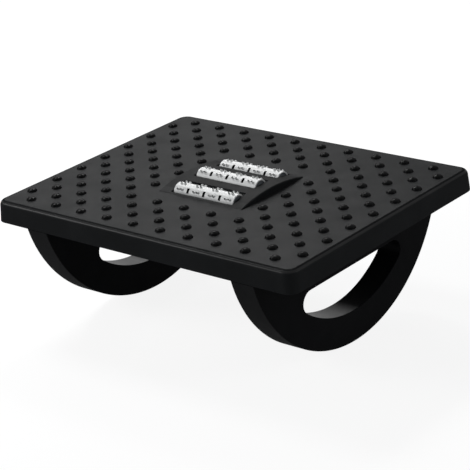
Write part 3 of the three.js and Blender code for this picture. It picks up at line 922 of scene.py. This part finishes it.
def window_cutter():
    """Cutter for one window, with rounded corners, over the middle of a sleeve."""
    half_x, half_y = WINDOW[0] / 2, WINDOW[1] / 2
    window = block(
        (-half_x, -half_y, ROLLER_RADIUS - WINDOW_DEPTH), (half_x, half_y, ROLLER_RADIUS + MM),
        "window",
    )
    open_up(window)
    choose(window, "EDGE", uprights)
    bpy.ops.mesh.bevel(offset=WINDOW_CORNER, segments=2, affect="EDGES")
    close_up()
    return window


def build_sleeve():
    """Tube with hollow pins in pairs and windows in every second row, about the X axis."""
    half = ROLLER_LENGTH / 2
    sleeve = rod(ROLLER_RADIUS, (-half, 0, 0), (half, 0, 0), 64, "X", "sleeve", "NOTHING")
    wall = sleeve.modifiers.new("wall", "SOLIDIFY")
    wall.thickness = ROLLER_WALL
    wall.offset = -1
    finish_modifier(sleeve, wall)
    soften(sleeve, ROLLER_EDGE, 60)
    pin = build_pin()
    window = window_cutter()
    pitch = pin_pitch()
    pins, windows = [], []
    for row in range(PIN_ROWS):
        turn = Matrix.Rotation(2 * math.pi * row / PIN_ROWS, 4, "X")
        for group in range(PIN_GROUPS):
            x = (group - (PIN_GROUPS - 1) / 2) * pitch
            for side in (-1, 1):
                move = Matrix.Translation((x + side * PIN_SPACING / 2, 0, 0))
                pins.append(copy_of(pin, "pin", turn @ move))
            if row % 2 == 0 and group + 1 < PIN_GROUPS:
                move = Matrix.Translation((x + pitch / 2, 0, 0))
                windows.append(copy_of(window, "window", turn @ move))
    bpy.data.objects.remove(pin)
    bpy.data.objects.remove(window)
    join_on(sleeve, join_up(pins, "pins"))
    carve(sleeve, join_up(windows, "windows"))
    return smooth(sleeve, 35)


def in_bore(face):
    """Tells the inside of the tube, windows and hollow pins, painted dark as shade, from the
    white outside.
    """
    centre = face.calc_center_median()
    reach = math.hypot(centre.y, centre.z)
    between_ends = abs(centre.x) < ROLLER_LENGTH / 2 - BORE_FROM_END
    if reach < ROLLER_RADIUS - BORE_BELOW_SKIN and between_ends:
        return True
    step = 2 * math.pi / PIN_ROWS
    turn = math.atan2(centre.y, centre.z) / step
    beside = reach * math.sin((turn - round(turn)) * step)
    pitch = pin_pitch()
    along = [
        centre.x - (group - (PIN_GROUPS - 1) / 2) * pitch - side * PIN_SPACING / 2
        for group in range(PIN_GROUPS) for side in (-1, 1)
    ]
    nearest = min(math.hypot(beside, offset) for offset in along)
    return nearest < PIN_BORE + BORE_ROUND and reach < PIN_REACH - BORE_BELOW_TIP


def build_hub():
    """Roller end that faces +X: a dished disc with a boss round the axle."""
    outside = ROLLER_LENGTH / 2 - HUB_INSET
    hub = rod(HUB_RADIUS, (outside - HUB_DEPTH, 0, 0), (outside, 0, 0), 48, "X", "hub")
    open_up(hub)
    choose(hub, "FACE", lambda f: f.normal.x > 0.99)
    bpy.ops.mesh.inset(thickness=HUB_RIM)
    bpy.ops.mesh.extrude_region_move(TRANSFORM_OT_translate={"value": (-HUB_DISH, 0, 0)})
    bpy.ops.mesh.inset(thickness=HUB_RADIUS - HUB_RIM - HUB_BOSS)
    reach = HUB_DISH + HUB_INSET + HUB_BOSS_REACH
    bpy.ops.mesh.extrude_region_move(TRANSFORM_OT_translate={"value": (reach, 0, 0)})
    close_up()
    past = 1.5 * HUB_DEPTH
    carve(hub, rod(
        AXLE_RADIUS + AXLE_GAP, (outside - past, 0, 0), (outside + past, 0, 0), 32, "X"
    ))
    soften(hub, HUB_EDGE, 40)
    return smooth(hub)


def build_axle(y, lift, name):
    """Round steel rod with rounded ends."""
    z = SURFACE + lift
    axle = rod(AXLE_RADIUS, (-AXLE_HALF, y, z), (AXLE_HALF, y, z), 32, "X", name)
    soften(axle, AXLE_EDGE, 40)
    return smooth(axle)


# Cradle and screws


def valley_cutter(low, high, lean_low, lean_high):
    """Cutter for the gap beside a horn; its sides lean outwards towards the top."""
    saddle = SURFACE - ROLLER_RADIUS
    cutter = block((-2 * CRADLE_OUTER, low, saddle), (2 * CRADLE_OUTER, high, VALLEY_TOP))
    open_up(cutter)
    for side, lean in ((low, -lean_low), (high, lean_high)):
        choose(cutter, "VERT", lambda v: at(v.co.y, side) and v.co.z > SURFACE)
        bpy.ops.transform.translate(value=(0, lean * (VALLEY_TOP - saddle), 0))
    close_up()
    return cutter


def build_cradle():
    """Tray below the rollers: a block cut down to its flanges, well, walls and axle horns."""
    saddle = SURFACE - ROLLER_RADIUS
    far = 2 * CRADLE_HALF_DEPTH
    inner = CRADLE_WELL - CRADLE_FLOOR
    axles = [(y, SURFACE + lift) for y, lift, _ in ROLLERS.values()]
    highest = max(z for _, z in axles)
    cradle = block(
        (-CRADLE_OUTER, -CRADLE_HALF_DEPTH, CRADLE_BOTTOM),
        (CRADLE_OUTER, CRADLE_HALF_DEPTH, highest),
        "roller_cradle_moulding",
    )
    carve(cradle, block((-CRADLE_INNER, -inner, CRADLE_TOP), (CRADLE_INNER, inner, CUT_TOP)))
    for sign in (-1, 1):
        y0, y1 = sorted((sign * CRADLE_WELL, sign * far))
        carve(cradle, block((-far, y0, CRADLE_TOP), (far, y1, CUT_TOP)))
        y0, y1 = sorted((sign * (inner - BITE), sign * far))
        carve(cradle, block((-far, y0, UNDERSIDE - JOINT_GAP), (far, y1, CUT_TOP)))
    edges = [(-inner, 0)]
    for y, z in axles:
        lean = (HORN_FOOT - HORN_TOP) / (z - saddle)
        edges += [(y - HORN_FOOT, lean), (y + HORN_FOOT, lean)]
    edges.append((inner, 0))
    for (low, lean_low), (top, lean_top) in zip(edges[::2], edges[1::2]):
        carve(cradle, valley_cutter(low, top, lean_low, lean_top))
    for y, z in axles:
        if z < highest:
            carve(cradle, block((-far, y - HORN_FOOT, z), (far, y + HORN_FOOT, CUT_TOP)))
        seat = CRADLE_INNER + SEAT_DEPTH
        carve(cradle, rod(AXLE_RADIUS + AXLE_GAP, (-seat, y, z), (seat, y, z), 32, "X"))
    for sx in (-1, 1):
        for sy in (-1, 1):
            x, y = sx * CRADLE_SCREWS[0], sy * CRADLE_SCREWS[1]
            carve(cradle, rod(
                PILOT_RADIUS, (x, y, CRADLE_BOTTOM - BITE), (x, y, CRADLE_TOP + BITE), 24
            ))
    clean(cradle)
    soften(cradle, CRADLE_EDGE, 50)
    return smooth(cradle)


def draw_out(rise, grow=1):
    """Extrudes the selected end upwards and makes it wider or narrower."""
    bpy.ops.mesh.extrude_region_move(TRANSFORM_OT_translate={"value": (0, 0, rise)})
    if grow != 1:
        bpy.ops.transform.resize(value=(grow, grow, 1), center_override=(0, 0, 0))


def build_screw(length):
    """Pan-head screw, head down, cross recess, rolled thread; its seat is at its origin."""
    screw = rod(SCREW_HEAD, (0, 0, -SCREW_HEAD_HEIGHT), (0, 0, 0), 40, "Z", "screw")
    open_up(screw)
    choose(screw, "EDGE", lambda e: all(at(v.co.z, -SCREW_HEAD_HEIGHT) for v in e.verts))
    bpy.ops.mesh.bevel(offset=SCREW_CROWN, segments=5, affect="EDGES")
    choose(screw, "FACE", lambda f: f.normal.z > 0.99)
    bpy.ops.mesh.inset(thickness=SCREW_HEAD - SCREW_NECK)
    turns = int((length - SCREW_END) / THREAD_PITCH)
    grow = THREAD_CREST / THREAD_ROOT
    for _ in range(turns):
        draw_out(THREAD_FLANK, grow)
        draw_out(THREAD_LAND)
        draw_out(THREAD_FLANK, 1 / grow)
    draw_out(length - turns * THREAD_PITCH - SCREW_TIP_GAP, SCREW_TIP_SHARE)
    close_up()
    for x, y in ((CROSS_HALF_WIDTH, CROSS_ARM), (CROSS_ARM, CROSS_HALF_WIDTH)):
        carve(screw, block(
            (-x, -y, -SCREW_HEAD_HEIGHT - BITE), (x, y, -SCREW_HEAD_HEIGHT + CROSS_DEPTH)
        ))
    return smooth(screw, 35)


# Putting the pieces in place


def place_foot_plate():
    """Puts the plate and its domes in place."""
    plate = build_foot_plate()
    # Painted light and shade on the plate's one plastic: a darker bump top between the rollers, a
    # dark band and a bright line on the rolled edge, and a darker skirt.
    paint_shades_on(
        plate, PLATE_BLACK,
        (BUMP_PAINTED_SHADE, on_bump),
        (ROLL_PAINTED_SHADE, lambda f: f.normal.z < ROLL_BEGINS and on_roll(f)),
        (EDGE_PAINTED_HIGHLIGHT, lambda f: f.normal.z < BRIGHT_LINE_BEGINS and on_roll(f)),
        (SKIRT_PAINTED_SHADE, lambda f: f.normal.z < SKIRT_BEGINS),
    )
    dress(plate, PLATE_BLACK, "footrest", "plate", "top_plate")
    domes = build_domes()
    # The domes' flanks and feet take a painted shade.
    paint_shades_on(domes, DOME_BLACK, (DOME_FLANK_SHADE, on_flank))
    dress(domes, DOME_BLACK, "footrest", "plate", "top_plate")


def screw_for(node):
    """A screw as long as a CAD node, to be copied."""
    low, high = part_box(node)
    return build_screw(high.z - low.z - SCREW_HEAD_HEIGHT)


def place_screw(screw, x, y, node, name):
    """Puts a copy of a screw at a place, as high as its CAD node."""
    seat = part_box(node)[0].z + SCREW_HEAD_HEIGHT
    twin = copy_of(screw, name, Matrix.Translation((x, y, seat)))
    dress(twin, SCREW_ZINC, "footrest", "screw", node)


def place_rockers():
    """Puts both rockers in place, each with its four screws."""
    rocker = build_rocker()
    # Painted light and shade on the rocker's one plastic: a lighter tread, darker hole walls and
    # a painted highlight on the bottom of the hole.
    paint_shades_on(
        rocker, ROCKER_BLACK,
        (TREAD_PAINTED_LIGHT, lambda f: abs(f.normal.x) < 0.9),
        (ROCKER_BLACK, in_hole),
        (HOLE_PAINTED_HIGHLIGHT, lambda f: abs(f.normal.x) < 0.5 and in_hole(f)),
    )
    screw = screw_for("rocker_screw_left_1")
    for side, sign in (("left", -1), ("right", 1)):
        x = sign * ROCKER_X
        twin = copy_of(rocker, f"rocker_{side}_moulding", Matrix.Translation((x, 0, 0)))
        dress(twin, ROCKER_BLACK, "footrest", "rocker", f"rocker_{side}")
        for index, y in enumerate(ROCKER_SCREWS, 1):
            node = f"rocker_screw_{side}_{index}"
            place_screw(screw, x, y, node, f"rocker_{side}_screw_{index}")
    bpy.data.objects.remove(rocker)
    bpy.data.objects.remove(screw)


def place_cradle():
    """Puts the cradle in place with its four screws."""
    dress(build_cradle(), CRADLE_BLACK, "footrest", "cradle", "roller_cradle")
    screw = screw_for("cradle_screw_1")
    for index in range(1, 5):
        node = f"cradle_screw_{index}"
        low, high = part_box(node)
        x, y = (low.x + high.x) / 2, (low.y + high.y) / 2
        place_screw(screw, x, y, node, f"cradle_fixing_{index}")
    bpy.data.objects.remove(screw)


def place_rollers():
    """Puts the rollers in place, each with its axle and its two ends."""
    sleeve = build_sleeve()
    # The dark inside of the sleeve is painted shade.
    paint_shades_on(sleeve, ROLLER_WHITE, (BORE_PAINTED_SHADE, in_bore))
    hub = build_hub()
    for name, (y, lift, tilt) in ROLLERS.items():
        axle = build_axle(y, lift, f"axle_{name}_rod")
        dress(axle, AXLE_STEEL, "footrest", "axle", f"roller_axle_{name}")
        turn = Matrix.Rotation(math.radians(tilt), 4, "X")
        move = Matrix.Translation((0, y, SURFACE + lift)) @ turn
        body = f"roller_{name}"
        twin = copy_of(sleeve, f"sleeve_{name}_pinned", move)
        dress(twin, ROLLER_WHITE, body, "roller", f"roller_sleeve_{name}")
        for side, half_turn in (("left", math.pi), ("right", 0)):
            flip = Matrix.Rotation(half_turn, 4, "Z")
            twin = copy_of(hub, f"hub_{name}_{side}_disc", move @ flip)
            dress(twin, HUB_GREY, body, "hub", f"roller_hub_{name}_{side}")
    bpy.data.objects.remove(sleeve)
    bpy.data.objects.remove(hub)


place_foot_plate()
place_rockers()
place_cradle()
place_rollers()


# Studio


def seen_background(tree, surface, white, output):
    """Shows plain white where the camera, a gloss or a clear material looks at it."""
    path = add_node(tree, "ShaderNodeLightPath")
    first = add_node(tree, "ShaderNodeMath", operation="MAXIMUM")
    second = add_node(tree, "ShaderNodeMath", operation="MAXIMUM")
    tree.links.new(path.outputs["Is Camera Ray"], first.inputs[0])
    tree.links.new(path.outputs["Is Glossy Ray"], first.inputs[1])
    tree.links.new(first.outputs[0], second.inputs[0])
    tree.links.new(path.outputs["Is Transmission Ray"], second.inputs[1])
    mix = add_node(tree, "ShaderNodeMixShader")
    tree.links.new(second.outputs[0], mix.inputs[0])
    tree.links.new(surface, mix.inputs[1])
    tree.links.new(white, mix.inputs[2])
    tree.links.new(mix.outputs[0], output.inputs["Surface"])


def grey(value):
    """An opaque grey."""
    return (value, value, value, 1)


def build_floor():
    """Pale floor that takes the object's shadow and looks nearly white."""
    bpy.ops.object.select_all(action="DESELECT")
    bpy.ops.mesh.primitive_plane_add(size=FLOOR_SIZE, location=(0, 0, 0))
    floor = settle("studio_floor")
    material = bpy.data.materials.new("pale_floor")
    material.use_nodes = True
    tree = material.node_tree
    tree.nodes.clear()
    output = add_node(tree, "ShaderNodeOutputMaterial")
    paper = add_node(tree, "ShaderNodeBsdfDiffuse", Color=grey(FLOOR_GREY))
    shade = add_node(tree, "ShaderNodeBsdfDiffuse", Color=grey(FLOOR_SEEN_GREY))
    glow = add_node(tree, "ShaderNodeEmission", Color=grey(1), Strength=FLOOR_GLOW)
    both = add_node(tree, "ShaderNodeAddShader")
    tree.links.new(shade.outputs[0], both.inputs[0])
    tree.links.new(glow.outputs[0], both.inputs[1])
    seen_background(tree, paper.outputs[0], both.outputs[0], output)
    floor.data.materials.append(material)


def build_world():
    """Dim room light, plain white where it is seen."""
    world = bpy.data.worlds.new("studio")
    bpy.context.scene.world = world
    world.use_nodes = True
    tree = world.node_tree
    tree.nodes.clear()
    output = add_node(tree, "ShaderNodeOutputWorld")
    room = add_node(tree, "ShaderNodeBackground", Color=ROOM_COLOUR, Strength=ROOM_STRENGTH)
    white = add_node(tree, "ShaderNodeBackground", Color=grey(1), Strength=1.0)
    seen_background(tree, room.outputs[0], white.outputs[0], output)


def add_lamp(name, place, target, size, power):
    """A softbox that faces its target."""
    lamp = bpy.data.lights.new(name, "AREA")
    lamp.shape = "RECTANGLE"
    lamp.size, lamp.size_y = size
    lamp.energy = power
    holder = bpy.data.objects.new(name, lamp)
    bpy.context.scene.collection.objects.link(holder)
    holder.location = place
    aim = Vector(target) - Vector(place)
    holder.rotation_euler = aim.to_track_quat("-Z", "Y").to_euler()


def build_camera():
    """The camera where the photo was taken from."""
    lens = bpy.data.cameras.new("camera")
    lens.sensor_width = CAMERA_SENSOR
    lens.lens = CAMERA_LENS
    lens.clip_start, lens.clip_end = CAMERA_RANGE
    holder = bpy.data.objects.new("camera", lens)
    bpy.context.scene.collection.objects.link(holder)
    holder.location = CAMERA_PLACE
    holder.rotation_euler = [math.radians(angle) for angle in CAMERA_TURN]
    bpy.context.scene.camera = holder


build_floor()
build_world()
add_lamp("key_softbox", (-1.28, 0.23, 1.7), PLATE_MIDDLE, size=(0.5, 0.4), power=14)
add_lamp("back_top_softbox", (-1.1, 1.25, 1.66), PLATE_MIDDLE, size=(0.35, 0.35), power=10)
add_lamp("front_fill", (-1.5, -1.4, 1.1), PLATE_MIDDLE, size=(1.0, 0.8), power=20)
add_lamp("back_softbox", (-1.6, 1.4, 1.1), PLATE_MIDDLE, size=(1.2, 0.6), power=9)
add_lamp("side_fill", (1.7, 0.7, 0.8), ROCKER_MIDDLE, size=(0.8, 0.8), power=6)
build_camera()
bpy.context.scene.view_settings.view_transform = "Standard"
